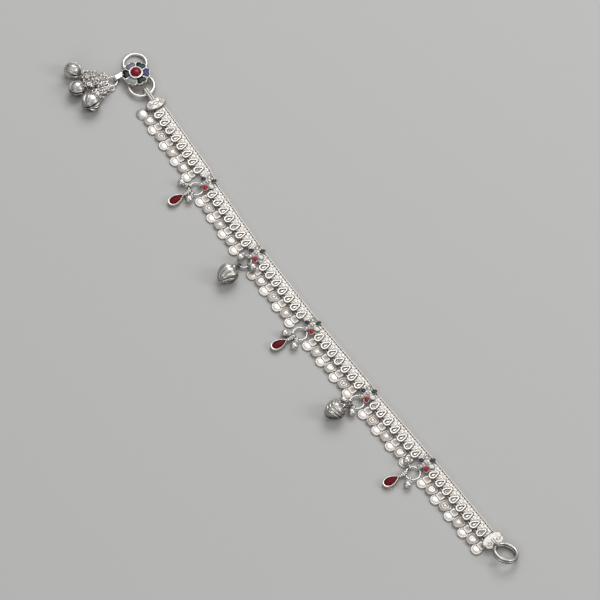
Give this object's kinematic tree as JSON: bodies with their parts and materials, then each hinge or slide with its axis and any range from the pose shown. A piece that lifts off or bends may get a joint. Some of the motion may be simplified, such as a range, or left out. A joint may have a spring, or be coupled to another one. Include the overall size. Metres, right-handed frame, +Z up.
{
  "type": "payal anklet",
  "caption": "Silver payal anklet lying open: band of teardrop links with a leaf fringe, jewelled flower stations with drops, S-hook clasp with ghungroo bells and a double end ring.",
  "frame": {"origin": "on the surface under the middle of the whole anklet's box", "axes": "+X along the band from the S-hook to the end ring, +Y towards the band's plain edge, +Z up"},
  "size_m": [0.2758, 0.0342, 0.0076],
  "materials": {
    "silver": "bright polished silver, darkened in the recesses",
    "grey_silver": "darker oxidised silver",
    "petal_stone": "polished stone inlays in green, pale, red and grey-blue",
    "clasp_glass": "polished glass inlays in blue, green, clear, lilac and teal",
    "carmine_cabochon": "smooth deep carmine cabochon",
    "garnet": "faceted deep garnet, foil-backed"
  },
  "bodies": {
    "root": {"band_run_1": "silver", "band_run_2": "silver", "band_run_3": "silver", "band_run_4": "silver", "band_run_5": "silver", "band_run_6": "silver", "bead_drop_1": "silver", "bead_drop_10": "silver", "bead_drop_2": "silver", "bead_drop_3": "silver", "bead_drop_4": "silver", "bead_drop_5": "silver", "bead_drop_6": "silver", "bead_drop_7": "silver", "bead_drop_8": "silver", "bead_drop_9": "silver", "bell_1": "silver", "bell_2": "silver", "bell_3": "silver", "bell_strand_1": "silver", "bell_strand_2": "silver", "bell_strand_3": "silver", "clasp_cabochon": "carmine_cabochon", "clasp_petal_glass": "clasp_glass", "clasp_ring": "silver", "end_ring": "silver", "flower_1": "silver", "flower_2": "silver", "flower_3": "silver", "flower_4": "silver", "flower_5": "silver", "heart_bell_1": "grey_silver", "heart_bell_2": "grey_silver", "hook_cap": "silver", "leaf_fringe_1": "silver", "leaf_fringe_2": "silver", "leaf_fringe_3": "silver", "leaf_fringe_4": "silver", "leaf_fringe_5": "silver", "leaf_fringe_6": "silver", "pear_setting_1": "silver", "pear_setting_2": "silver", "pear_setting_3": "silver", "pear_stone_1": "garnet", "pear_stone_2": "garnet", "pear_stone_3": "garnet", "ring_cap": "silver", "s_hook": "silver", "station_ring_1": "silver", "station_ring_2": "silver", "station_ring_3": "silver", "station_ring_4": "silver", "station_ring_5": "silver", "station_stones_1": "petal_stone", "station_stones_2": "petal_stone", "station_stones_3": "petal_stone", "station_stones_4": "petal_stone", "station_stones_5": "petal_stone"}
  },
  "joints": []
}
